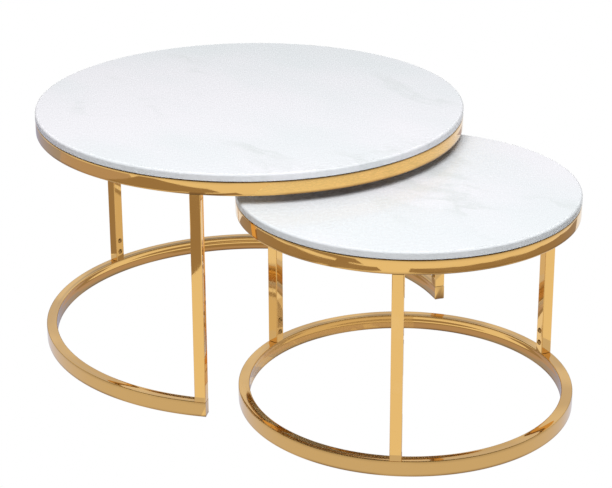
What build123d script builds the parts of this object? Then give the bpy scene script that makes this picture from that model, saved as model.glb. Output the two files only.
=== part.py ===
from build123d import *
import os
from math import cos, radians, sin

# Nesting tables: a tall round coffee table on a C-shaped foot, and a lower full-ring one that slides
# in through the open side of the C. Each has a marble slab on a welded tube frame, and a foot that
# unscrews from the legs. Millimetres. +X is the way the small table pulls out, +Z is up, and the
# origin is on the floor under the middle of the pair as it stands, part way out.

# ---- driving dimensions -------------------------------------------------------------------------
LARGE_RADIUS = 400.0          # large slab, and the outside of its hoop and foot
LARGE_HEIGHT = 458.0
SMALL_RADIUS = 299.0
SMALL_HEIGHT = 402.0
PULL_OUT = 416.0              # distance between the two tables' axes as they stand
LEG_ANGLES_LARGE = {"rear": 65.6, "side": 185.6, "front": 305.6}   # degrees from +X, 120 apart
LEG_ANGLES_SMALL = {"rear": 71.5, "side": 191.5, "front": 311.5}

SLAB = 13.5                   # thickness of the marble
SLAB_ARRIS = 3.0              # rounding of its upper edge
SLAB_UNDER_EDGE = 0.8
PAD_GAP = 1.5                 # height of the clear bumpers between slab and hoop
PAD_DIAMETER = 12.0
PADS = 6

TUBE = 20.0                   # radial width of hoop and foot, and both sides of a leg
HOOP_HEIGHT = 24.5
FOOT_HEIGHT = 28.0
WALL = 1.2                    # wall of every polished tube
TUBE_CORNER = 1.5             # outside corner of every tube
TUBE_CORNER_INSIDE = 0.5
VENT_DIAMETER = 8.0           # vent between a leg and the tubes it joins, hidden in the joint
LEG_INSET = 0.15              # keeps a flat leg inside the curved faces of hoop and foot
LEG_FOOT_CHAMFER = 0.6        # eased lower end of a leg, seen as the seam above the foot

GLIDE = 1.0                   # thickness of the floor glides
GLIDE_DIAMETER = 14.0

SPIGOT_HEIGHT = 60.0          # stub welded on the foot, up inside the leg
SPIGOT_CLEARANCE = 0.2        # on each side, in the leg
SPIGOT_WALL = 1.6
SPIGOT_CORNER = 1.0

SCREW_HEIGHTS = (20.0, 44.0)  # above the top of the foot
SCREW_RADIUS = 3.0            # M6
SCREW_LENGTH = 12.0
SCREW_HOLE_RADIUS = 3.2
HEAD_RADIUS = 5.25            # button head
HEAD_HEIGHT = 3.3
SOCKET_FLATS = 4.0
SOCKET_DEPTH = 2.0
NUT_FLATS = 10.0
NUT_HEIGHT = 5.0
NUT_BORE_RADIUS = 3.05

CAP = 2.0                     # plate that closes each open end of the C
C_OVERRUN = 6.0               # degrees the C is first cut too long by, at each end
HALF_SPAN = 60                # degrees from a leg to the middle of the next gap

# ---- worked out ---------------------------------------------------------------------------------
FOOT_TOP = GLIDE + FOOT_HEIGHT
TUBE_INSIDE = TUBE - 2 * WALL
SPIGOT = TUBE_INSIDE - 2 * SPIGOT_CLEARANCE
LARGE_X = -(PULL_OUT + SMALL_RADIUS - LARGE_RADIUS) / 2
SMALL_X = LARGE_X + PULL_OUT
MARGIN = 1.0                  # how far a cutter passes the face it cuts
END_CUT = LARGE_RADIUS / 4    # length of the block that trims each end of the C


def hoop_bottom(height):
    """Underside of the upper hoop, where the legs meet it, on a table of this height."""
    return height - SLAB - PAD_GAP - HOOP_HEIGHT


def placed(shape, centre_x):
    """A piece modelled round its own table's axis, moved to where that table stands."""
    return Pos(centre_x, 0, 0) * shape


def at_leg(shape, radius, angle):
    """A piece modelled round a leg's centre line, put on the ring of this radius at this angle."""
    return Rot(0, 0, angle) * Pos(radius - LEG_INSET - TUBE / 2, 0, 0) * shape


def at_each_leg(shape, radius, angles):
    return [at_leg(shape, radius, angle) for angle in angles]


def square_bar(side, corner, bottom, height):
    """An upright bar of rounded square section round the Z axis."""
    return extrude(Plane.XY.offset(bottom) * RectangleRounded(side, side, corner), height)


def ring_section(radius, bottom, height, inset, corner):
    """The tube's section, inset from its outside by this much, in the XZ plane."""
    centre = Pos(radius - TUBE / 2, bottom + height / 2)
    return Plane.XZ * centre * RectangleRounded(TUBE - 2 * inset, height - 2 * inset, corner)


def tube_ring(radius, bottom, height):
    """A full circle of rectangular tube."""
    outside = revolve(ring_section(radius, bottom, height, 0, TUBE_CORNER), Axis.Z)
    inside = revolve(ring_section(radius, bottom, height, WALL, TUBE_CORNER_INSIDE), Axis.Z)
    return outside - inside


def disc_set(diameter, thickness, radius, bottom, angles):
    """Small round pads spaced round a ring."""
    disc = Cylinder(diameter / 2, thickness, align=(Align.CENTER, Align.CENTER, Align.MIN))
    return [
        Pos(radius * cos(radians(a)), radius * sin(radians(a)), bottom) * disc for a in angles
    ]


def slab(radius, height):
    """The marble top, with a rounded upper arris and an eased lower edge."""
    top = Pos(0, 0, height - SLAB) * Cylinder(
        radius, SLAB, align=(Align.CENTER, Align.CENTER, Align.MIN)
    )
    top = fillet(top.edges().sort_by(Axis.Z)[-1], SLAB_ARRIS)
    return fillet(top.edges().sort_by(Axis.Z)[0], SLAB_UNDER_EDGE)


def bumper_pads(radius, height):
    """Clear bumpers that the slab rests on, over the middle of the hoop's upper face."""
    angles = [360 / PADS * (n + 0.5) for n in range(PADS)]
    return disc_set(PAD_DIAMETER, PAD_GAP, radius - TUBE / 2, height - SLAB - PAD_GAP, angles)


def vents(radius, z, angles):
    """Cutters for the vents through one tube wall at height z, one at each leg."""
    drill = Pos(0, 0, z) * Cylinder(VENT_DIAMETER / 2, 2 * (WALL + MARGIN))
    return at_each_leg(drill, radius, angles)


def hoop(radius, height, angles):
    """The upper ring that carries the slab. Its vents open into the tops of the legs."""
    bottom = hoop_bottom(height)
    return tube_ring(radius, bottom, HOOP_HEIGHT) - vents(radius, bottom, angles)


def screw_holes(reach):
    """Cutters for a leg's two screw holes, through its inner wall only."""
    drill = Rot(0, 90, 0) * Cylinder(SCREW_HOLE_RADIUS, reach)
    return [Pos(-TUBE / 2, 0, FOOT_TOP + z) * drill for z in SCREW_HEIGHTS]


def leg(height):
    """An upright square tube, open at both ends, with two screw holes low in its inner face."""
    length = hoop_bottom(height) - FOOT_TOP
    outside = square_bar(TUBE, TUBE_CORNER, FOOT_TOP, length)
    foot_edges = outside.edges().group_by(Axis.Z)[0]
    outside = chamfer(foot_edges, LEG_FOOT_CHAMFER)
    inside = square_bar(TUBE_INSIDE, TUBE_CORNER_INSIDE, FOOT_TOP - MARGIN, length + 2 * MARGIN)
    return outside - inside - screw_holes(TUBE / 2)


def spigot():
    """The stub on the foot that the leg drops over. The screws pass through its inner wall."""
    outside = square_bar(SPIGOT, SPIGOT_CORNER, FOOT_TOP, SPIGOT_HEIGHT)
    bore = square_bar(
        SPIGOT - 2 * SPIGOT_WALL, TUBE_CORNER_INSIDE, FOOT_TOP - MARGIN, SPIGOT_HEIGHT + 2 * MARGIN
    )
    return outside - bore - screw_holes(TUBE / 2)


def leg_screws():
    """A leg's two button-head screws, heads against its inner face, pointing outwards."""
    dome_radius = (HEAD_RADIUS**2 + HEAD_HEIGHT**2) / (2 * HEAD_HEIGHT)
    dome = Pos(0, 0, HEAD_HEIGHT - dome_radius) * Sphere(dome_radius)
    head = dome & Cylinder(
        HEAD_RADIUS, HEAD_HEIGHT, align=(Align.CENTER, Align.CENTER, Align.MIN)
    )
    socket = Pos(0, 0, HEAD_HEIGHT - SOCKET_DEPTH) * extrude(
        RegularPolygon(SOCKET_FLATS / 2, 6, major_radius=False), SOCKET_DEPTH + MARGIN
    )
    shank = Cylinder(
        SCREW_RADIUS, SCREW_LENGTH, align=(Align.CENTER, Align.CENTER, Align.MAX)
    )
    screw = Rot(0, -90, 0) * (head - socket + shank)
    return [Pos(-TUBE / 2, 0, FOOT_TOP + z) * screw for z in SCREW_HEIGHTS]


def weld_nuts():
    """The two nuts welded inside a spigot, behind the screw holes."""
    nut = extrude(RegularPolygon(NUT_FLATS / 2, 6, major_radius=False), NUT_HEIGHT)
    nut -= Cylinder(NUT_BORE_RADIUS, 2 * (NUT_HEIGHT + MARGIN))
    nut = Rot(0, 90, 0) * nut
    wall_face = -SPIGOT / 2 + SPIGOT_WALL
    return [Pos(wall_face, 0, FOOT_TOP + z) * nut for z in SCREW_HEIGHTS]


def foot_ring(radius, angles):
    """The small table's full-circle foot."""
    return tube_ring(radius, GLIDE, FOOT_HEIGHT) - vents(radius, FOOT_TOP, angles)


def end_slice(radius, angle, side, first, last):
    """A block across the ring near a leg, from first to last millimetres past its centre line."""
    block = Box(4 * TUBE, last - first, FOOT_HEIGHT + 2 * MARGIN)
    block = Pos(0, side * (first + last) / 2, GLIDE + FOOT_HEIGHT / 2) * block
    return at_leg(block, radius, angle)


def c_sector(radius, sweep_start, sweep):
    """A pie slice over the stretch of ring that the C keeps."""
    far = 2 * radius
    slice_of_pie = CenterArc((0, 0), far, sweep_start, sweep)
    edges = [Line((0, 0), slice_of_pie @ 0), slice_of_pie, Line(slice_of_pie @ 1, (0, 0))]
    return extrude(make_face(edges), FOOT_TOP + MARGIN)


def foot_arc(radius, angles):
    """The large table's C-shaped foot, cut flush with the sides of its two end legs.

    It runs from the rear leg round by the side leg to the front leg, open towards +X.
    """
    start, end = angles["rear"], angles["front"]
    arc = tube_ring(radius, GLIDE, FOOT_HEIGHT)
    arc &= c_sector(radius, start - C_OVERRUN, end - start + 2 * C_OVERRUN)
    arc -= end_slice(radius, start, -1, TUBE / 2 - CAP, END_CUT)
    arc -= end_slice(radius, end, 1, TUBE / 2 - CAP, END_CUT)
    return arc - vents(radius, FOOT_TOP, angles.values())


def arc_end_caps(radius, angles):
    """The plates that close the two ends of the C, to the tube's own outside section."""
    solid_ring = revolve(ring_section(radius, GLIDE, FOOT_HEIGHT, 0, TUBE_CORNER), Axis.Z)
    ends = ((angles["rear"], -1), (angles["front"], 1))
    return [
        solid_ring & end_slice(radius, angle, side, TUBE / 2 - CAP, TUBE / 2)
        for angle, side in ends
    ]


def each_leg_set(pieces, radius, angles):
    """A list of pieces made round one leg, repeated at every leg."""
    return [at_leg(piece, radius, angle) for angle in angles for piece in pieces]


def common_pieces(name, radius, height, angles):
    """The pieces that both tables have, round the table's own axis."""
    ring = angles.values()
    pieces = {
        f"{name}_marble_top": [slab(radius, height)],
        f"{name}_bumper_pads": bumper_pads(radius, height),
        f"{name}_top_hoop": [hoop(radius, height, ring)],
        f"{name}_foot_spigots": at_each_leg(spigot(), radius, ring),
        f"{name}_leg_screws": each_leg_set(leg_screws(), radius, ring),
        f"{name}_weld_nuts": each_leg_set(weld_nuts(), radius, ring),
    }
    for where, angle in angles.items():
        pieces[f"{name}_leg_{where}"] = [at_leg(leg(height), radius, angle)]
    return pieces


def large_table():
    radius, angles = LARGE_RADIUS, LEG_ANGLES_LARGE
    pieces = common_pieces("large", radius, LARGE_HEIGHT, angles)
    pieces["large_foot_arc"] = [foot_arc(radius, angles)]
    pieces["large_arc_end_caps"] = arc_end_caps(radius, angles)
    halfway = [angle + HALF_SPAN for angle in (angles["rear"], angles["side"])]
    spots = [*angles.values(), *halfway]
    pieces["large_floor_glides"] = disc_set(
        GLIDE_DIAMETER, GLIDE, radius - TUBE / 2, 0, spots
    )
    return pieces


def small_table():
    radius, angles = SMALL_RADIUS, LEG_ANGLES_SMALL
    pieces = common_pieces("small", radius, SMALL_HEIGHT, angles)
    pieces["small_foot_ring"] = [foot_ring(radius, angles.values())]
    spots = [angle + turn for angle in angles.values() for turn in (0, HALF_SPAN)]
    pieces["small_floor_glides"] = disc_set(
        GLIDE_DIAMETER, GLIDE, radius - TUBE / 2, 0, spots
    )
    return pieces


def write(pieces, centre_x):
    """One STEP file for each named piece or set of like pieces."""
    for node, shapes in pieces.items():
        solids = [placed(solid, centre_x) for shape in shapes for solid in shape.solids()]
        whole = solids[0] if len(solids) == 1 else Compound(children=solids)
        export_step(whole, f"parts/{node}.step")
        print(node, len(solids))


os.makedirs("parts", exist_ok=True)
write(large_table(), LARGE_X)
write(small_table(), SMALL_X)
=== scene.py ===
# %% [markdown]
# # A pair of nesting tables in marble and polished gold
# Two round tables. The tall one stands on a C-shaped foot, open on one side, and the low one stands
# on a closed ring and slides in through that opening. Each has a marble slab on a welded frame of
# square tube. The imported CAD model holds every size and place, so it comes first and nothing in it
# is moved. Each piece that shows is then built again, finer and with a finish.

# %% Load the frame
import math

import bmesh
import bpy
from mathutils import Matrix, Vector


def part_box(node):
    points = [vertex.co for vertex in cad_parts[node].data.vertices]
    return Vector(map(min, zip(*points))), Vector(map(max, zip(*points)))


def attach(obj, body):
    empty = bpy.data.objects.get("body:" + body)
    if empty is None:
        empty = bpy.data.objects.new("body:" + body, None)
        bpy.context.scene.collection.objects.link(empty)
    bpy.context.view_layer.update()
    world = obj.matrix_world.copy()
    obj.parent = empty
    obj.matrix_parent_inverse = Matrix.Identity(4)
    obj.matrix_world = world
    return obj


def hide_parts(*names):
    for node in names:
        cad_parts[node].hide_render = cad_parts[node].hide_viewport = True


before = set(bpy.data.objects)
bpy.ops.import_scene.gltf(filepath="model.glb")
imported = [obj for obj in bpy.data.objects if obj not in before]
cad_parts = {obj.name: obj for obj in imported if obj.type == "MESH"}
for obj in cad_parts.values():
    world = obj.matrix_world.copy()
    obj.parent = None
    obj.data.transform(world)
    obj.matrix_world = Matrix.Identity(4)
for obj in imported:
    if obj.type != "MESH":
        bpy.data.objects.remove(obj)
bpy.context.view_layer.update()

# %% [markdown]
# The two tables are alike, so each is described once, as a small dictionary of sizes read from the
# boxes of its CAD pieces. Every builder below takes one of these, and works round that table's own
# upright axis. The last step moves the piece to where the table stands.

# %% The two tables
LEGS = ("rear", "side", "front")


def leg_angle(name, where, centre_x):
    """Direction of a leg from its table's axis, in radians from +X."""
    low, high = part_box(f"{name}_leg_{where}")
    middle = (low + high) / 2
    return math.atan2(middle.y, middle.x - centre_x) % math.tau


def table_sizes(name, foot_node):
    """Where a table stands and how big it is."""
    slab_low, slab_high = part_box(f"{name}_marble_top")
    hoop_low, hoop_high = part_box(f"{name}_top_hoop")
    foot_low, foot_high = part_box(foot_node)
    x = (slab_low.x + slab_high.x) / 2
    return {
        "name": name,
        "body": f"{name}_table",
        "x": x,
        "radius": (slab_high.x - slab_low.x) / 2,
        "slab": (slab_low.z, slab_high.z),
        "hoop": (hoop_low.z, hoop_high.z),
        "foot": (foot_low.z, foot_high.z),
        "legs": {where: leg_angle(name, where, x) for where in LEGS},
    }


LARGE = table_sizes("large", "large_foot_arc")
SMALL = table_sizes("small", "small_foot_ring")
for table in (LARGE, SMALL):
    turns = [round(math.degrees(angle), 1) for angle in table["legs"].values()]
    print(table["name"], "radius", round(table["radius"], 4), "legs at", turns)

# %% [markdown]
# Shared sizes of the stock, in metres. The tube is 20 mm wide everywhere, with small round corners. A
# polished tube is never quite flat: bending it into a ring draws its top and bottom in a little, and
# that shallow dish bends whatever the ring reflects.

# %% Stock sizes
TUBE = 0.020
TUBE_CORNER = 0.0015
CORNER_STEPS = 5
DISH = 0.0003                  # how far a bent tube's top and bottom are drawn in
WALL = 0.0012
LEG_INSET = 0.00015            # a flat leg stays this far inside the round faces
LEG_FOOT_CHAMFER = 0.0006
SLAB_ARRIS = 0.0042
SLAB_UNDER_EDGE = 0.0008
PAD_RADIUS = 0.006
GLIDE_RADIUS = 0.007
GLIDE_TURN = math.radians(60)  # from a leg to the glide between it and the next one
CAP = 0.002                    # thickness of the plates that close the C
STEPS = {"large": 300, "small": 240}    # facets round each table's rings
TINY = 0.000001                # points nearer than this count as in the same place

# %% [markdown]
# ## Finishes
# A material is a small network of nodes. These two helpers add a node and set its inputs by name, so
# that a finish can be read as a short list. Every pattern reads Object coordinates. A Mapping node
# first moves them to the table's own axis, so rings and slabs carry the pattern round with them.

# %% Node helpers
def add_node(tree, kind, **settings):
    """A node, its plain properties set by name and its inputs by a dictionary called inputs."""
    node = tree.nodes.new(kind)
    values = settings.pop("inputs", {})
    for key, value in settings.items():
        setattr(node, key, value)
    for key, value in values.items():
        if isinstance(value, bpy.types.NodeSocket):
            tree.links.new(value, node.inputs[key])
        else:
            node.inputs[key].default_value = value
    return node


def new_finish(name):
    """A material with a bare Principled shader. Returns the material, its tree and the shader."""
    finish = bpy.data.materials.new(name)
    finish.use_nodes = True
    tree = finish.node_tree
    tree.nodes.clear()
    shader = add_node(tree, "ShaderNodeBsdfPrincipled")
    add_node(tree, "ShaderNodeOutputMaterial", inputs={"Surface": shader.outputs["BSDF"]})
    return finish, tree, shader


def centred(tree, centre_x):
    """Object coordinates measured from a table's axis."""
    place = add_node(tree, "ShaderNodeTexCoord").outputs["Object"]
    moved = add_node(tree, "ShaderNodeMapping", inputs={"Vector": place, "Location": (-centre_x, 0, 0)})
    return moved.outputs["Vector"]


def ramp(tree, value, low, high, low_result, high_result):
    """Turns the stretch of a value from low to high into a stretch of results."""
    node = add_node(tree, "ShaderNodeMapRange", interpolation_type="SMOOTHSTEP", inputs={
        0: value, 1: low, 2: high, 3: low_result, 4: high_result,
    })
    return node.outputs[0]


def maths(tree, operation, *values):
    """The result of one sum on these values."""
    node = add_node(tree, "ShaderNodeMath", operation=operation, inputs=dict(enumerate(values)))
    return node.outputs[0]


def noise(tree, vector, scale, detail=3.0, roughness=0.5, distortion=0.0):
    """Smooth random values round 0.5, scale blobs to a metre."""
    node = add_node(tree, "ShaderNodeTexNoise", inputs={
        "Vector": vector, "Scale": scale, "Detail": detail, "Roughness": roughness,
        "Distortion": distortion,
    })
    return node.outputs[0]


def mixed(tree, share, first, second):
    """A colour between two others."""
    node = add_node(tree, "ShaderNodeMix", data_type="RGBA", inputs={0: share, 6: first, 7: second})
    return node.outputs[2]


def bumped(tree, shader, height, distance, strength):
    """Raises the surface by a height pattern."""
    node = add_node(tree, "ShaderNodeBump", inputs={
        "Height": height, "Distance": distance, "Strength": strength,
    })
    tree.links.new(node.outputs["Normal"], shader.inputs["Normal"])


# %% [markdown]
# ### Polished gold
# The frame is stainless steel tube, polished and then coated gold. A mirror shows what it is by what
# is wrong with it: a slow ripple left by rolling and polishing, fine lines from the buffing wheel
# that run along the tube, and a thin film of handling marks that dulls it in patches. So the colour
# is nearly even. The lines and the film only change the roughness, and the ripple is a faint bump.
# Along the rings' edges a darker tone is painted shade, standing for the dark that their rounded
# edges mirror, and an attribute of the mesh called rim says how much. Buffing lines follow the ring
# or run up the leg, which takes two patterns: one on the distance from the table's axis and the
# height, the other on plain coordinates squeezed along Z.

# %% Gold finish
GOLD = (0.88, 0.535, 0.165, 1.0)
GOLD_WORN = (0.91, 0.59, 0.23, 1.0)
# The colour of the painted shade along the rings' edges.
GOLD_EDGE_SHADE = (0.15, 0.055, 0.01, 1.0)
GOLD_LINES = 600               # buffing lines to a metre
GOLD_FILM = 16                 # patches of handling film to a metre
GOLD_WAVE = 9                  # slow ripples to a metre
GOLD_POLISH = (0.02, 0.08)     # roughness, from the best polished places to the worst
RING_SQUEEZE = 0.012           # the smaller this is, the longer the lines are round a ring
LEG_SQUEEZE = 0.02             # and up a leg


def round_the_axis(tree, place):
    """Coordinates that are long along a ring: distance from the axis, a slow turn, and height."""
    parts = add_node(tree, "ShaderNodeSeparateXYZ", inputs={"Vector": place}).outputs
    flat = add_node(tree, "ShaderNodeCombineXYZ", inputs={"X": parts["X"], "Y": parts["Y"]})
    reach = add_node(tree, "ShaderNodeVectorMath", operation="LENGTH", inputs={0: flat.outputs[0]})
    slow_turn = maths(tree, "MULTIPLY", maths(tree, "ARCTAN2", parts["Y"], parts["X"]), RING_SQUEEZE)
    made = add_node(tree, "ShaderNodeCombineXYZ", inputs={
        "X": reach.outputs["Value"], "Y": slow_turn, "Z": parts["Z"],
    })
    return made.outputs[0]


def along_the_leg(tree, place):
    """Coordinates that are long up a leg."""
    squeezed = add_node(tree, "ShaderNodeMapping", inputs={
        "Vector": place, "Scale": (1, 1, LEG_SQUEEZE),
    })
    return squeezed.outputs["Vector"]


def gold_finish(name, centre_x, direction):
    """Mirror-polished gold. direction lays the buffing lines along the piece."""
    finish, tree, shader = new_finish(name)
    place = centred(tree, centre_x)
    lines = noise(tree, direction(tree, place), GOLD_LINES, detail=3, roughness=0.6)
    film = noise(tree, place, GOLD_FILM, detail=5, roughness=0.6)
    wave = noise(tree, place, GOLD_WAVE, detail=1, roughness=0.3)
    worn = ramp(tree, film, 0.56, 0.74, 0.0, 0.35)
    # Painted shade: the rim attribute, made uneven by the slow ripple, darkens the gold along the
    # edges.
    rim = add_node(tree, "ShaderNodeAttribute", attribute_name="rim").outputs["Fac"]
    uneven_edge_shade = maths(tree, "MULTIPLY", rim, ramp(tree, wave, 0.38, 0.6, 0.35, 1.0))
    colour = mixed(tree, uneven_edge_shade, mixed(tree, worn, GOLD, GOLD_WORN), GOLD_EDGE_SHADE)
    tree.links.new(colour, shader.inputs["Base Color"])
    dull = ramp(tree, maths(tree, "MULTIPLY", film, lines), 0.12, 0.42, *GOLD_POLISH)
    tree.links.new(dull, shader.inputs["Roughness"])
    shader.inputs["Metallic"].default_value = 1.0
    shader.inputs["Coat Weight"].default_value = 0.5
    shader.inputs["Coat Roughness"].default_value = 0.03
    bumped(tree, shader, wave, 0.02, 0.015)
    return finish


RING_GOLD = {}
LEG_GOLD = {}
for table in (LARGE, SMALL):
    name = table["name"]
    RING_GOLD[name] = gold_finish(f"gold, {name} rings", table["x"], round_the_axis)
    LEG_GOLD[name] = gold_finish(f"gold, {name} legs", table["x"], along_the_leg)
print("gold finishes", len(RING_GOLD) + len(LEG_GOLD))

# %% [markdown]
# ### Marble
# A cool white stone, honed flat and polished. The veins are soft grey-green smoke more than lines.
# One slow noise bends the coordinates of a second, and only the narrow band where the second passes
# through its middle value is drawn, which gives a line that wanders and fades. A cloudy tone lies
# under it, and a fine grain makes the polish a little uneven.

# %% Marble finish
STONE = (0.86, 0.855, 0.895, 1.0)
STONE_CLOUD = (0.79, 0.825, 0.85, 1.0)
VEIN = (0.66, 0.70, 0.70, 1.0)
VEIN_STRETCH = (1, 1.9, 1)     # veins run longer one way than the other
VEIN_PLACE = (1.7, 0.3)        # which part of the endless pattern the slabs are cut from
VEIN_BEND = 0.30
VEIN_WIDTH = 0.035             # width of the drawn band, in values of the noise
BEND_BLOBS = 2.2               # blobs to a metre in each pattern
SMOKE_BLOBS = 3.0
PATCH_BLOBS = 3.4
CLOUD_BLOBS = 1.9
GRAIN_BLOBS = 90


def marble_finish(name, centre_x, turn):
    """Polished white marble, its veins turned so that the two slabs don't match."""
    finish, tree, shader = new_finish(name)
    place = centred(tree, centre_x)
    turned = add_node(tree, "ShaderNodeMapping", inputs={
        "Vector": place, "Rotation": (0, 0, turn), "Scale": VEIN_STRETCH,
        "Location": (turn, *VEIN_PLACE),
    }).outputs["Vector"]
    bend = add_node(tree, "ShaderNodeTexNoise", inputs={
        "Vector": turned, "Scale": BEND_BLOBS, "Detail": 4.0,
    })
    pushed = add_node(tree, "ShaderNodeMix", data_type="VECTOR", inputs={
        0: VEIN_BEND, 4: turned, 5: bend.outputs["Color"],
    })
    smoke = noise(tree, pushed.outputs[1], SMOKE_BLOBS, detail=6, roughness=0.58)
    off_middle = maths(tree, "ABSOLUTE", maths(tree, "SUBTRACT", smoke, 0.5))
    line = ramp(tree, off_middle, 0.0, VEIN_WIDTH, 1.0, 0.0)
    patch = ramp(tree, noise(tree, turned, PATCH_BLOBS, detail=2), 0.50, 0.68, 0.0, 0.55)
    cloud = ramp(tree, noise(tree, turned, CLOUD_BLOBS, detail=3), 0.38, 0.68, 0.0, 1.0)
    ground = mixed(tree, cloud, STONE, STONE_CLOUD)
    colour = mixed(tree, maths(tree, "MULTIPLY", line, patch), ground, VEIN)
    tree.links.new(colour, shader.inputs["Base Color"])
    grain = noise(tree, place, GRAIN_BLOBS, detail=3)
    tree.links.new(ramp(tree, grain, 0.3, 0.75, 0.26, 0.29), shader.inputs["Roughness"])
    shader.inputs["Specular IOR Level"].default_value = 0.35
    shader.inputs["Coat Weight"].default_value = 0.12
    shader.inputs["Coat Roughness"].default_value = 0.05
    bumped(tree, shader, grain, 0.0001, 0.002)
    return finish


MARBLE = {
    "large": marble_finish("marble, large slab", LARGE["x"], 0.55),
    "small": marble_finish("marble, small slab", SMALL["x"], 2.1),
}

# %% [markdown]
# ### The small parts
# The screws are gold like the tube, a little duller, and darker all over: that darker tone is painted
# shade, for the dark round the heads. The clear bumpers and the glides are soft and hard plastic that
# let some light through. The stubs and nuts inside the legs are bare steel. They are sealed in, but
# anyone who takes a leg off finds them, so they get a drawn-steel finish too.

# %% Finishes of the small parts
# Both tones are darker than the tube's gold: painted shade for the dark round the screw heads.
SCREW_TONES = ((0.55, 0.33, 0.11, 1), (0.40, 0.23, 0.07, 1))
STEEL_TONES = ((0.44, 0.44, 0.45, 1), (0.62, 0.61, 0.60, 1))
FINE_MARKS = 700               # marks to a metre on screws and bare steel
HAZE = 260                     # cloudy specks to a metre in the plastics


def screw_finish():
    """Gold plate on a turned screw, a little worn, in a darker tone that is painted shade."""
    finish, tree, shader = new_finish("gold, screws")
    place = add_node(tree, "ShaderNodeTexCoord").outputs["Object"]
    marks = noise(tree, place, FINE_MARKS, detail=4)
    colour = mixed(tree, ramp(tree, marks, 0.4, 0.7, 0.0, 1.0), *SCREW_TONES)
    tree.links.new(colour, shader.inputs["Base Color"])
    tree.links.new(ramp(tree, marks, 0.3, 0.7, 0.08, 0.20), shader.inputs["Roughness"])
    shader.inputs["Metallic"].default_value = 1.0
    bumped(tree, shader, marks, 0.0001, 0.2)
    return finish


def plastic_finish(name, colour, speck, clearness, rough):
    """A plastic that lets some light through, faintly cloudy."""
    finish, tree, shader = new_finish(name)
    place = add_node(tree, "ShaderNodeTexCoord").outputs["Object"]
    haze = noise(tree, place, HAZE, detail=3)
    cloudy = mixed(tree, ramp(tree, haze, 0.4, 0.7, 0.0, 1.0), colour, speck)
    tree.links.new(cloudy, shader.inputs["Base Color"])
    tree.links.new(ramp(tree, haze, 0.3, 0.7, rough, rough + 0.15), shader.inputs["Roughness"])
    shader.inputs["Transmission Weight"].default_value = clearness
    shader.inputs["IOR"].default_value = 1.45
    bumped(tree, shader, haze, 0.0001, 0.15)
    return finish


def steel_finish():
    """Bare steel with fine lines up its length."""
    finish, tree, shader = new_finish("bare steel")
    place = add_node(tree, "ShaderNodeTexCoord").outputs["Object"]
    drawn = noise(tree, along_the_leg(tree, place), FINE_MARKS, detail=5, roughness=0.7)
    tree.links.new(mixed(tree, drawn, *STEEL_TONES), shader.inputs["Base Color"])
    tree.links.new(ramp(tree, drawn, 0.3, 0.7, 0.25, 0.45), shader.inputs["Roughness"])
    shader.inputs["Metallic"].default_value = 1.0
    bumped(tree, shader, drawn, 0.0002, 0.3)
    return finish


SCREW_GOLD = screw_finish()
CLEAR_PAD = plastic_finish("clear bumper", (0.86, 0.88, 0.86, 1), (0.76, 0.79, 0.77, 1), 0.6, 0.18)
GLIDE_PLASTIC = plastic_finish("floor glide", (0.74, 0.74, 0.71, 1), (0.62, 0.62, 0.59, 1), 0.2, 0.35)
STEEL = steel_finish()

# %% [markdown]
# ## Building with bmesh
# Rings and slabs are turned shapes: an outline drawn in the XZ plane and spun round Z. The outline
# starts as a face with sharp corners, its corners are bevelled, and the face is thrown away to leave
# its edges. A leg's outline lies flat and is pulled up. A piece is finished in one place: doubles
# merged, faces turned outwards, moved to its table, shaded smooth, and tied to its body, and the CAD
# piece it stands for is hidden.

# %% Mesh helpers
def round_off(mesh, points, rounding, steps):
    """Rounds the corners of a flat face at these points."""
    bmesh.ops.bevel(
        mesh, geom=points, offset=rounding, affect="VERTICES", segments=steps, profile=0.5, material=-1,
    )


def ease(mesh, edges, size, steps):
    """Bevels these edges."""
    bmesh.ops.bevel(
        mesh, geom=edges, offset=size, affect="EDGES", segments=steps, profile=0.5, material=-1,
    )


def outline(mesh, corners, *roundings):
    """A closed outline through these corners. A rounding is the corners' places in the list, a
    radius and a number of steps."""
    points = [mesh.verts.new(corner) for corner in corners]
    mesh.faces.new(points)
    for places, radius, steps in roundings:
        round_off(mesh, [points[place] for place in places], radius, steps)
    bmesh.ops.delete(mesh, geom=mesh.faces[:], context="FACES_ONLY")


def spin_round(mesh, steps, angle=math.tau):
    """Spins everything in the mesh round Z. A full turn is closed up."""
    bmesh.ops.spin(
        mesh, geom=mesh.verts[:] + mesh.edges[:], cent=(0, 0, 0), axis=(0, 0, 1), dvec=(0, 0, 0),
        angle=angle, steps=steps, use_merge=angle > math.tau - TINY, use_duplicate=False,
    )


def turn(mesh, angle):
    """Turns a mesh round the table's axis."""
    matrix = Matrix.Rotation(angle, 3, "Z")
    bmesh.ops.rotate(mesh, verts=mesh.verts[:], cent=(0, 0, 0), matrix=matrix)


def pull(mesh, ring):
    """Extrudes a ring of edges in place. Returns the new edges and the new points."""
    pulled = bmesh.ops.extrude_edge_only(mesh, edges=ring)["geom"]
    edges = [g for g in pulled if isinstance(g, bmesh.types.BMEdge)]
    points = [g for g in pulled if isinstance(g, bmesh.types.BMVert)]
    return edges, points


def join(whole, part):
    """Adds a finished part to a larger mesh, and lets go of the part."""
    data = bpy.data.meshes.new("part")
    part.to_mesh(data)
    part.free()
    whole.from_mesh(data)
    bpy.data.meshes.remove(data)


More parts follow.
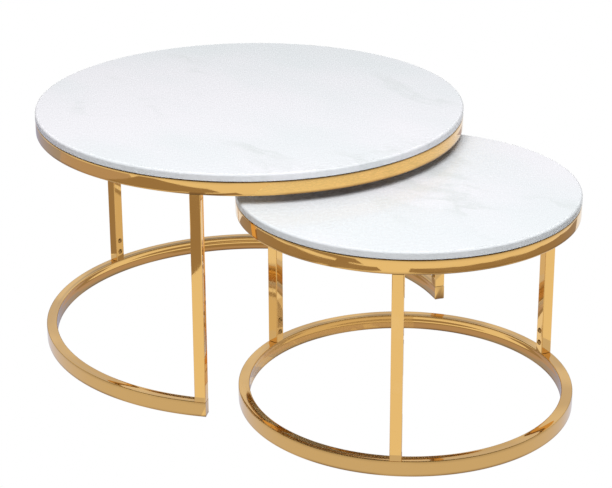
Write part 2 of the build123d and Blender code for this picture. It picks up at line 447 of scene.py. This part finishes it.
def finish_piece(mesh, table, name, finish, slot, *nodes):
    """Closes a mesh up and makes it a piece of its table, standing for these CAD nodes."""
    bmesh.ops.remove_doubles(mesh, verts=mesh.verts[:], dist=2 * TINY)
    bmesh.ops.recalc_face_normals(mesh, faces=mesh.faces[:])
    bmesh.ops.translate(mesh, verts=mesh.verts[:], vec=(table["x"], 0, 0))
    name = f"{table['name']}_{name}"
    data = bpy.data.meshes.new(name)
    mesh.to_mesh(data)
    mesh.free()
    data.shade_smooth()
    data.materials.append(finish)
    piece = bpy.data.objects.new(name, data)
    bpy.context.scene.collection.objects.link(piece)
    even = piece.modifiers.new("flats stay flat", "WEIGHTED_NORMAL")
    even.weight = 100
    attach(piece, table["body"])
    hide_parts(*nodes)
    print(name, len(data.polygons), "faces")
    return piece


# %% [markdown]
# ### The marble slabs
# A slab is a disc with a softly rounded upper arris and an eased lower edge. Spinning half its
# section is the plainest way, and the rounding comes from bevelling that section's two outer
# corners. The edge on the axis is dropped before the spin, so the two faces close at a clean pole.

# %% Marble slabs
def slab_piece(table):
    mesh = bmesh.new()
    name = table["name"]
    bottom, top = table["slab"]
    radius = table["radius"]
    corners = [(0, 0, bottom), (radius, 0, bottom), (radius, 0, top), (0, 0, top)]
    outline(mesh, corners, ([1], SLAB_UNDER_EDGE, 4), ([2], SLAB_ARRIS, 10))
    on_axis = [e for e in mesh.edges if all(abs(v.co.x) < TINY for v in e.verts)]
    bmesh.ops.delete(mesh, geom=on_axis, context="EDGES")
    spin_round(mesh, STEPS[name])
    finish_piece(mesh, table, "slab", MARBLE[name], "white_marble", f"{name}_marble_top")


for table in (LARGE, SMALL):
    slab_piece(table)

# %% [markdown]
# ### Hoops and feet
# Both hoops, the small foot ring and the large C are the same bent tube. Its outline has rounded
# corners, and its top and bottom edges are cut into short lengths that are drawn in by the dish. The
# C is spun through part of a turn only, and its ends are then trimmed flush with the end legs: each
# end plane is square to the ring there and lies half a tube past the leg's own centre.

# %% Bent tube
FLAT_CUTS = 15
EDGE_SHADE_HEIGHT = 0.005                    # height of the painted shade along an edge
UPPER_EDGE_SHADE_SHARE = 0.35         # how strong the painted shade is along the upper edge, beside 1 along the lower
CROWN = 0.0002                 # how far the outer wall's edges lie inside its middle
RIPPLE = 0.00025               # depth of the ripple that bending leaves in the inner wall
RIPPLE_LENGTH = 0.011
FLAT = 0.999                   # share of a face's half width that is clear of its round corner


def ripple_at(drop):
    """How far the inner wall is drawn in, this far below its upper edge."""
    if drop > 1.5 * RIPPLE_LENGTH:
        return RIPPLE
    return RIPPLE * (1 - math.cos(math.tau * drop / RIPPLE_LENGTH)) / 2


def edge_shade_share(height, below_top):
    """How much painted edge shade a point has, from its height above the edge and below the top."""
    lower = 1 - height / EDGE_SHADE_HEIGHT
    upper = UPPER_EDGE_SHADE_SHARE * (1 - below_top / EDGE_SHADE_HEIGHT)
    return max(lower, upper, 0.0)


def tube_outline(mesh, radius, bottom, top):
    """The section of the bent tube, its outer wall at this radius."""
    inner = radius - TUBE
    corners = [(inner, 0, bottom), (radius, 0, bottom), (radius, 0, top), (inner, 0, top)]
    outline(mesh, corners, (range(4), TUBE_CORNER, CORNER_STEPS))
    flats = [e for e in mesh.edges if e.calc_length() > TUBE / 2]
    bmesh.ops.subdivide_edges(mesh, edges=flats, cuts=FLAT_CUTS)
    middle_x, middle_z = radius - TUBE / 2, (bottom + top) / 2
    half_width = TUBE / 2 - TUBE_CORNER
    half_height = (top - bottom) / 2 - TUBE_CORNER
    # The rim attribute holds each point's share of the painted shade along the edges.
    rim = mesh.verts.layers.float.new("rim")
    for vert in mesh.verts:
        vert[rim] = edge_shade_share(vert.co.z - bottom, top - vert.co.z)
        across = abs(vert.co.x - middle_x) / half_width
        up = abs(vert.co.z - middle_z) / half_height
        if across < FLAT:
            vert.co.z += math.copysign(DISH * (1 - across * across) ** 2, middle_z - vert.co.z)
        elif vert.co.x > middle_x:
            vert.co.x -= CROWN * min(up, 1.0) ** 2
        elif up < FLAT:
            vert.co.x += ripple_at(middle_z + half_height - vert.co.z)


def closed_tube_piece(table, part, name, node):
    """A full ring of tube, hoop or foot."""
    mesh = bmesh.new()
    tube_outline(mesh, table["radius"], *table[part])
    spin_round(mesh, STEPS[table["name"]])
    finish_piece(mesh, table, name, RING_GOLD[table["name"]], "polished_gold", node)


for table in (LARGE, SMALL):
    closed_tube_piece(table, "hoop", "hoop", f"{table['name']}_top_hoop")
closed_tube_piece(SMALL, "foot", "foot", "small_foot_ring")

# %% The C-shaped foot
LEG_CENTRE = LARGE["radius"] - LEG_INSET - TUBE / 2
TRIM = 0.003                   # the C is spun this much too long before its ends are trimmed


def past_leg(reach):
    """Angle past a leg's own centre at which the ring has gone this far sideways."""
    return math.asin(reach / LEG_CENTRE)


def trim_end(mesh, angle, side, reach):
    """Cuts the C's end with a plane reach past the leg's centre line, on the side it sticks out."""
    along = Vector((-math.sin(angle), math.cos(angle), 0)) * side
    near = Vector((math.cos(angle), math.sin(angle), 0)) * LEG_CENTRE
    close = [f for f in mesh.faces if (f.calc_center_median() - near).xy.length < 2 * TUBE]
    geom = dict.fromkeys(close)
    for face in close:
        geom.update(dict.fromkeys([*face.edges, *face.verts]))
    bmesh.ops.bisect_plane(
        mesh, geom=list(geom), dist=TINY / 10, plane_co=near + along * reach, plane_no=along,
        clear_outer=True,
    )


def arc_mesh(start, sweep, steps):
    """Part of a turn of the foot's tube, open at both ends."""
    mesh = bmesh.new()
    tube_outline(mesh, LARGE["radius"], *LARGE["foot"])
    turn(mesh, start)
    spin_round(mesh, steps, sweep)
    return mesh


def close_ends(mesh):
    """Fills each open outline with one face."""
    rims = [e for e in mesh.edges if e.is_boundary]
    bmesh.ops.holes_fill(mesh, edges=rims, sides=0)


rear, front = LARGE["legs"]["rear"], LARGE["legs"]["front"]
over = past_leg(TUBE / 2 + TRIM)
mesh = arc_mesh(rear - over, front - rear + 2 * over, STEPS["large"])
trim_end(mesh, rear, -1, TUBE / 2 - CAP)
trim_end(mesh, front, 1, TUBE / 2 - CAP)
finish_piece(mesh, LARGE, "foot", RING_GOLD["large"], "polished_gold", "large_foot_arc")

# %% [markdown]
# The C's two open ends are closed by thin plates, cut to the tube's outside and ground flush. Each
# is a short slice of the same section, filled at both ends, with a fine bevel round its outer face.
# The bevel is what catches the light at the very end of the foot.

# %% End plates
CAP_EDGE = 0.0004
CAP_STEPS = 6
FACING = 0.999                 # a face turned this nearly one way counts as facing it


def cap_mesh(angle, side):
    """One end plate, between the trimmed tube and half a tube past the leg."""
    first = past_leg(TUBE / 2 - 2 * CAP)
    last = past_leg(TUBE / 2 + TRIM)
    start = angle + first if side > 0 else angle - last
    mesh = arc_mesh(start, last - first, CAP_STEPS)
    trim_end(mesh, angle, side, TUBE / 2)
    trim_end(mesh, angle, -side, -(TUBE / 2 - CAP))
    close_ends(mesh)
    along = Vector((-math.sin(angle), math.cos(angle), 0)) * side
    bmesh.ops.recalc_face_normals(mesh, faces=mesh.faces[:])
    outer = [f for f in mesh.faces if f.normal.dot(along) > FACING]
    rim = dict.fromkeys(e for f in outer for e in f.edges if len(e.link_faces) == 2)
    ease(mesh, list(rim), CAP_EDGE, 3)
    return mesh


caps = bmesh.new()
for angle, side in ((rear, -1), (front, 1)):
    join(caps, cap_mesh(angle, side))
finish_piece(caps, LARGE, "end_plates", RING_GOLD["large"], "polished_gold", "large_arc_end_caps")

# %% [markdown]
# ### Legs
# A leg is a square tube standing on the foot and welded under the hoop. Its outline is drawn flat at
# the lower end and pulled up twice: a short step out for the eased lower end, which shows as a fine
# seam above the foot, then the whole length. Solidify gives the sheet its wall.

# %% Leg tubes
def leg_piece(table, where):
    mesh = bmesh.new()
    name = table["name"]
    bottom, top = table["foot"][1], table["hoop"][0]
    half = TUBE / 2
    corners = [(x * half, y * half, bottom) for x, y in ((-1, -1), (1, -1), (1, 1), (-1, 1))]
    outline(mesh, corners, (range(4), TUBE_CORNER, CORNER_STEPS))
    eased = (TUBE - 2 * LEG_FOOT_CHAMFER) / TUBE
    ring = mesh.edges[:]
    bmesh.ops.scale(mesh, verts=mesh.verts[:], vec=(eased, eased, 1))
    for lift, scale in ((LEG_FOOT_CHAMFER, 1 / eased), (top - bottom - LEG_FOOT_CHAMFER, 1.0)):
        ring, ends = pull(mesh, ring)
        bmesh.ops.translate(mesh, verts=ends, vec=(0, 0, lift))
        bmesh.ops.scale(mesh, verts=ends, vec=(scale, scale, 1))
    bmesh.ops.translate(mesh, verts=mesh.verts[:], vec=(table["radius"] - LEG_INSET - half, 0, 0))
    turn(mesh, table["legs"][where])
    node = f"{name}_leg_{where}"
    piece = finish_piece(mesh, table, f"{where}_leg", LEG_GOLD[name], "polished_gold", node)
    wall = piece.modifiers.new("wall", "SOLIDIFY")
    wall.thickness = WALL
    wall.offset = -1
    piece.modifiers.move(1, 0)


for table in (LARGE, SMALL):
    for where in LEGS:
        leg_piece(table, where)

# %% [markdown]
# ### Screws
# Two button-head screws hold each leg to the stub inside it. The head is a low dome with a hexagon
# socket, so its mesh has to change from a hexagon to a circle: a hexagon is cut into short lengths,
# copied outwards, and the copies are moved onto circles of growing size that step down the dome.

# %% Button-head screws
HEAD_RADIUS = 0.00525
HEAD_HEIGHT = 0.0033
SOCKET_RADIUS = 0.004 / math.sqrt(3)
SOCKET_DEPTH = 0.002
SOCKET_RING = 1.12 * SOCKET_RADIUS     # where the dome starts to be round
HEAD_RIM = 0.0003              # least height of the head's edge
SHANK_RADIUS = 0.003
SHANK_LENGTH = 0.012
SHANK_END = 0.0005             # size of the chamfer at the tip
LAY_INWARDS = Matrix.Rotation(-math.pi / 2, 3, "Y")
SCREW_HEIGHTS = (0.020, 0.044)
DOME_STEPS = 6


def widen(mesh, ring, radius, height):
    """Copies a ring of edges outwards to a circle of this radius, at this height."""
    edges, points = pull(mesh, ring)
    for point in points:
        flat = point.co.xy.normalized() * radius
        point.co = (flat.x, flat.y, height)
    return edges


def screw_mesh():
    """A screw with its head up +Z, the underside of the head on the XY plane."""
    mesh = bmesh.new()
    dome = (HEAD_RADIUS**2 + HEAD_HEIGHT**2) / (2 * HEAD_HEIGHT)

    def dome_height(radius):
        return HEAD_HEIGHT - dome + math.sqrt(dome * dome - radius * radius)

    bmesh.ops.create_circle(mesh, cap_ends=False, radius=SOCKET_RADIUS, segments=6)
    bmesh.ops.subdivide_edges(mesh, edges=mesh.edges[:], cuts=3)
    hexagon = mesh.edges[:]
    for vert in mesh.verts:
        vert.co.z = dome_height(vert.co.xy.length)
    socket_floor, points = pull(mesh, hexagon)
    for point in points:
        point.co.z = HEAD_HEIGHT - SOCKET_DEPTH
    bmesh.ops.holes_fill(mesh, edges=socket_floor, sides=0)
    ring = hexagon
    for step in range(1, DOME_STEPS + 1):
        radius = SOCKET_RING + (HEAD_RADIUS - SOCKET_RING) * step / DOME_STEPS
        ring = widen(mesh, ring, radius, max(dome_height(radius), HEAD_RIM))
    ring = widen(mesh, ring, HEAD_RADIUS, 0)
    ring = widen(mesh, ring, SHANK_RADIUS, 0)
    ring = widen(mesh, ring, SHANK_RADIUS, SHANK_END - SHANK_LENGTH)
    ring = widen(mesh, ring, SHANK_RADIUS - SHANK_END, -SHANK_LENGTH)
    bmesh.ops.holes_fill(mesh, edges=ring, sides=0)
    return mesh


def screws_piece(table):
    """All six screws of a table, heads on the inner faces of its legs."""
    name = table["name"]
    whole = bmesh.new()
    reach = table["radius"] - LEG_INSET - TUBE
    for where in LEGS:
        for height in SCREW_HEIGHTS:
            screw = screw_mesh()
            up = table["foot"][1] + height
            bmesh.ops.rotate(screw, verts=screw.verts[:], cent=(0, 0, 0), matrix=LAY_INWARDS)
            bmesh.ops.translate(screw, verts=screw.verts[:], vec=(reach, 0, up))
            turn(screw, table["legs"][where])
            join(whole, screw)
    finish_piece(whole, table, "screws", SCREW_GOLD, "gold_screw", f"{name}_leg_screws")


for table in (LARGE, SMALL):
    screws_piece(table)

# %% [markdown]
# ### Bumpers and glides
# Six clear bumpers lift each slab off its hoop, which leaves the thin dark line below the marble, and
# small glides lift the foot off the floor. Both are discs with an eased rim, spaced round the ring.

# %% Bumpers and glides
PAD_EDGE = 0.0003
PAD_ANGLES = [math.radians(angle) for angle in range(30, 360, 60)]
DISC_SIDES = 40


def disc_mesh(whole, radius, bottom, top, reach, angle):
    """Adds one disc with eased rims to a mesh, out on the ring."""
    made = bmesh.ops.create_cone(
        whole, cap_ends=True, segments=DISC_SIDES, radius1=radius, radius2=radius, depth=top - bottom
    )["verts"]
    level = [e for v in made for e in v.link_edges if abs(e.verts[0].co.z - e.verts[1].co.z) < TINY]
    out = Vector((math.cos(angle), math.sin(angle), 0)) * reach
    bmesh.ops.translate(whole, verts=made, vec=out + Vector((0, 0, (bottom + top) / 2)))
    ease(whole, list(dict.fromkeys(level)), PAD_EDGE, 2)


for table in (LARGE, SMALL):
    name = table["name"]
    reach = table["radius"] - TUBE / 2
    pads = bmesh.new()
    for angle in PAD_ANGLES:
        disc_mesh(pads, PAD_RADIUS, table["hoop"][1], table["slab"][0], reach, angle)
    finish_piece(pads, table, "bumpers", CLEAR_PAD, "clear_bumper", f"{name}_bumper_pads")
    glides = bmesh.new()
    spots = list(table["legs"].values())
    between = LEGS if name == "small" else ("rear", "side")
    spots += [table["legs"][where] + GLIDE_TURN for where in between]
    for angle in spots:
        disc_mesh(glides, GLIDE_RADIUS, 0, table["foot"][0], reach, angle)
    finish_piece(glides, table, "glides", GLIDE_PLASTIC, "floor_glide", f"{name}_floor_glides")

# %% [markdown]
# The stubs and the nuts inside the legs never show, so their CAD pieces stay as they are and only get
# their finish.

# %% Hidden steel
for node_name in ("foot_spigots", "weld_nuts"):
    for table in (LARGE, SMALL):
        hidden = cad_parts[f"{table['name']}_{node_name}"]
        hidden.data.materials.clear()
        hidden.data.materials.append(STEEL)

# %% [markdown]
# ## Studio
# Polished metal is only as good as what stands round it, and here each kind of ray gets a stage of
# its own. The camera sees a floor and a surround of one plain white, with no shadow of the tables.
# Mirror rays see a flat pale floor and a surround that darkens near the horizon and high up. Light
# that bounces off the floor comes from a greyer one, so that the undersides stay dark enough. A real
# room can't do this. It was chosen because the tables then stand on clean white, while the gold still
# has light and dark to reflect. The light is a large soft box high on the camera's side and a weak
# one overhead. Both are hidden from mirror rays, because they would show as bright patches.

# %% Floor
FLOOR_SIZE = 60.0
FLOOR_IN_METAL = 0.90          # how bright the floor shows in polished metal
FLOOR_WHITE = (0.97, 0.97, 0.97, 1)
FLOOR_BOUNCE = (0.50, 0.50, 0.50, 1)    # its colour to the light that bounces off it
WHITE = (1, 1, 1, 1)
floor_mesh = bmesh.new()
bmesh.ops.create_grid(floor_mesh, x_segments=1, y_segments=1, size=FLOOR_SIZE / 2)
floor_data = bpy.data.meshes.new("floor")
floor_mesh.to_mesh(floor_data)
floor_mesh.free()
floor = bpy.data.objects.new("floor", floor_data)
bpy.context.scene.collection.objects.link(floor)

sheet, tree, shader = new_finish("pale floor")
seen = add_node(tree, "ShaderNodeLightPath")
paper = mixed(tree, seen.outputs["Is Diffuse Ray"], FLOOR_WHITE, FLOOR_BOUNCE)
tree.links.new(paper, shader.inputs["Base Color"])
shader.inputs["Roughness"].default_value = 0.9
shader.inputs["Specular IOR Level"].default_value = 0.1
brightness = maths(tree, "MULTIPLY_ADD", seen.outputs["Is Glossy Ray"], FLOOR_IN_METAL - 1, 1.0)
white = add_node(tree, "ShaderNodeEmission", inputs={"Color": WHITE, "Strength": brightness})
plain_rays = maths(tree, "MAXIMUM", seen.outputs["Is Camera Ray"], seen.outputs["Is Glossy Ray"])
either = add_node(tree, "ShaderNodeMixShader", inputs={
    0: plain_rays, 1: shader.outputs["BSDF"], 2: white.outputs["Emission"],
})
out = next(n for n in tree.nodes if n.bl_idname == "ShaderNodeOutputMaterial")
tree.links.new(either.outputs["Shader"], out.inputs["Surface"])
floor.data.materials.append(sheet)

# %% Light
WORLD_FILL = 0.32              # how much of the surrounding white falls on the tables as light
OVERHEAD = (0.55, 0.75, 0.86, 0.2)      # two heights in the surround, and its level at each
HORIZON = (0.28, 0.41, 0.40, 1.0)       # the same, lower down
world = bpy.data.worlds.new("studio")
bpy.context.scene.world = world
world.use_nodes = True
sky = world.node_tree
sky.nodes.clear()
way = add_node(sky, "ShaderNodeTexCoord").outputs["Generated"]
up = add_node(sky, "ShaderNodeSeparateXYZ", inputs={"Vector": way}).outputs["Z"]
tone = maths(sky, "MULTIPLY", ramp(sky, up, *OVERHEAD), ramp(sky, up, *HORIZON))
path = add_node(sky, "ShaderNodeLightPath")
share = maths(sky, "MULTIPLY_ADD", path.outputs["Is Glossy Ray"], 1 - WORLD_FILL, WORLD_FILL)
strength = maths(sky, "MULTIPLY", tone, share)
lit = add_node(sky, "ShaderNodeBackground", inputs={"Color": WHITE, "Strength": strength})
plain = add_node(sky, "ShaderNodeBackground", inputs={"Color": WHITE, "Strength": 1.0})
pick = add_node(sky, "ShaderNodeMixShader", inputs={
    0: path.outputs["Is Camera Ray"], 1: lit.outputs[0], 2: plain.outputs[0],
})
add_node(sky, "ShaderNodeOutputWorld", inputs={"Surface": pick.outputs[0]})


def soft_box(name, place, width, power):
    """A square light at a place, facing the tables and hidden from mirror rays."""
    light = bpy.data.lights.new(name, "AREA")
    light.shape = "SQUARE"
    light.size = width
    light.energy = power
    lamp = bpy.data.objects.new(name, light)
    lamp.location = place
    lamp.rotation_euler = (TABLES_MIDDLE - Vector(place)).to_track_quat("-Z", "Y").to_euler()
    lamp.visible_glossy = False
    bpy.context.scene.collection.objects.link(lamp)


TABLES_MIDDLE = Vector((0, 0, 0.3))
soft_box("overhead soft box", (0.1, -0.1, 2.6), 2.6, 18)
soft_box("key soft box", (1.85, -1.7, 5.0), 3.4, 262)

# %% [markdown]
# Polished metal that mirrors only white looks like flat paint, so dark cards are put round it, as a
# studio would. These are painted reflections: glowing sheets that lie on the floor, cast no shadow
# and light nothing, and only mirror rays see them. Their outlines were worked out for this one
# camera, from the places on the floor that the hoops and legs mirror towards it. From any other side
# the dark patches fall elsewhere in the gold. Narrow rings of card inside, under and round the feet
# are painted shade, for the soft shade that gathers there.

# %% Dark cards
# Tones of the painted reflections and the painted shade that the cards put into the gold.
DARK = (0.38, 0.31, 0.25, 1)
DIM = (0.52, 0.44, 0.46, 1)
HALF = (0.54, 0.47, 0.48, 1)
SHADE = (0.70, 0.70, 0.78, 1)
PALE = (0.76, 0.70, 0.62, 1)
GREY = (0.42, 0.43, 0.55, 1)
CARD_GLOW = 0.95
STRIPS = ((0.0, 0.010, GREY), (0.010, 0.021, DIM), (0.021, 0.029, DARK), (0.047, 0.066, DARK))
STRIP_LIFT = 0.0004
STRIP_STEPS = 120
CLEAR_MIDDLE = 0.08            # radius round each table's axis that the shade under it leaves clear
SHADE_WIDTH = 0.072


def card_sheet(name, mesh, colour):
    """Makes a flat mesh a card, a painted reflection that glows and shows in mirror reflections only.
    """
    data = bpy.data.meshes.new(name)
    mesh.to_mesh(data)
    mesh.free()
    finish = bpy.data.materials.new(name)
    finish.use_nodes = True
    tree = finish.node_tree
    tree.nodes.clear()
    glow = add_node(tree, "ShaderNodeEmission", inputs={"Color": colour, "Strength": CARD_GLOW})
    add_node(tree, "ShaderNodeOutputMaterial", inputs={"Surface": glow.outputs[0]})
    data.materials.append(finish)
    sheet = bpy.data.objects.new(name, data)
    bpy.context.scene.collection.objects.link(sheet)
    sheet.visible_camera = False
    sheet.visible_diffuse = False
    sheet.visible_transmission = False
    sheet.visible_shadow = False


def ring_card(name, table, near, far, start, sweep, colour):
    """A strip along a foot, from near to far inside its inner wall. Below zero is outside it."""
    mesh = bmesh.new()
    inner = table["radius"] - TUBE
    ends = [mesh.verts.new((inner - off, 0, STRIP_LIFT)) for off in (near, far)]
    mesh.edges.new(ends)
    turn(mesh, start)
    spin_round(mesh, STRIP_STEPS, sweep)
    bmesh.ops.translate(mesh, verts=mesh.verts[:], vec=(table["x"], 0, 0))
    card_sheet(name, mesh, colour)


CARDS = (
    ("left end of the tall hoop", 0.002, GREY,
     [(-1.26, 0.3), (-1.15, -0.67), (-1.62, -0.95), (-1.85, 0.3)]),
    ("left of the tall hoop", 0.003, HALF,
     [(-1.18, -0.69), (-0.55, -1.22), (-0.19, -1.30), (-0.45, -1.80), (-0.96, -1.64), (-1.62, -0.95)]),
    ("middle of the tall hoop", 0.004, DARK,
     [(-0.66, -1.18), (-0.09, -1.30), (0.27, -1.27), (0.66, -1.12), (0.60, -1.33), (0.49, -1.41),
      (0.27, -1.60), (-0.08, -1.85), (-0.25, -1.85), (-0.43, -1.49)]),
    ("right end of the tall hoop", 0.002, HALF,
     [(0.05, 1.22), (-0.44, 1.16), (-0.46, 1.40), (0.05, 1.44)]),
    ("front leg", 0.003, DARK,
     [(0.22, -0.88), (0.36, -1.30), (0.60, -1.30), (0.45, -1.12), (0.37, -1.02), (0.31, -0.95)]),
    ("side leg", 0.003, DARK,
     [(-0.74, -0.02), (-0.56, -0.16), (-0.88, -0.58), (-1.10, -0.36)]),
    ("left of the low hoop", 0.005, DARK,
     [(-0.66, -0.17), (-0.57, -0.45), (-0.43, -0.69), (-0.14, -0.90), (0.15, -1.00), (0.48, -0.99),
      (0.79, -0.91), (0.79, -1.02), (0.51, -1.14), (0.26, -1.18), (-0.01, -1.17), (-0.26, -1.16),
      (-0.63, -0.90), (-0.85, -0.62), (-0.96, -0.21)]),
    ("right of the low hoop", 0.005, DARK,
     [(1.00, -0.74), (1.19, -0.38), (1.25, -0.07), (1.20, 0.26), (1.00, 0.60), (0.72, 0.80),
      (0.39, 0.89), (0.31, 1.17), (0.52, 1.13), (0.85, 1.01), (1.16, 0.74), (1.39, 0.31),
      (1.42, -0.08), (1.34, -0.42), (1.23, -0.62), (1.09, -0.80)]),
)
for name, lift, colour, corners in CARDS:
    mesh = bmesh.new()
    mesh.faces.new([mesh.verts.new((x, y, lift)) for x, y in corners])
    card_sheet(name, mesh, colour)

FEET = (("C", LARGE, rear, front - rear), ("ring", SMALL, 0, math.tau))
for near, far, colour in STRIPS:
    for foot, table, start, sweep in FEET:
        ring_card(f"strip in {foot}", table, near, far, start, sweep, colour)
for table in (LARGE, SMALL):
    far = table["radius"] - TUBE - CLEAR_MIDDLE
    ring_card("shade under", table, STRIPS[-1][1], far, 0, math.tau, PALE)
for foot, table, start, sweep in FEET:
    ring_card("shade outside", table, -TUBE, -TUBE - SHADE_WIDTH, start, sweep, SHADE)

# %% [markdown]
# ## Camera
# A long lens, looking down at the tables from the open side of the C. The picture is cropped below
# the lens's own centre, which is what the small downward shift stands for.

# %% Camera
LENS = 106.051
SENSOR = 36.0
SHIFT = -0.12
PLACE = (2.29002, -2.10192, 1.49122)
HEADING = math.radians(47.478)
DOWN = math.radians(19.979)
ROLL = math.radians(-0.2136)

camera_data = bpy.data.cameras.new("camera")
camera_data.lens = LENS
camera_data.sensor_width = SENSOR
camera_data.shift_y = SHIFT
camera = bpy.data.objects.new("camera", camera_data)
camera.location = PLACE
tilt = Matrix.Rotation(math.pi / 2 - DOWN, 3, "X")
aim = Matrix.Rotation(HEADING, 3, "Z") @ tilt @ Matrix.Rotation(ROLL, 3, "Z")
camera.rotation_euler = aim.to_euler()
bpy.context.scene.collection.objects.link(camera)
bpy.context.scene.camera = camera
bpy.context.scene.view_settings.view_transform = "Standard"
bpy.context.scene.cycles.use_denoising = True
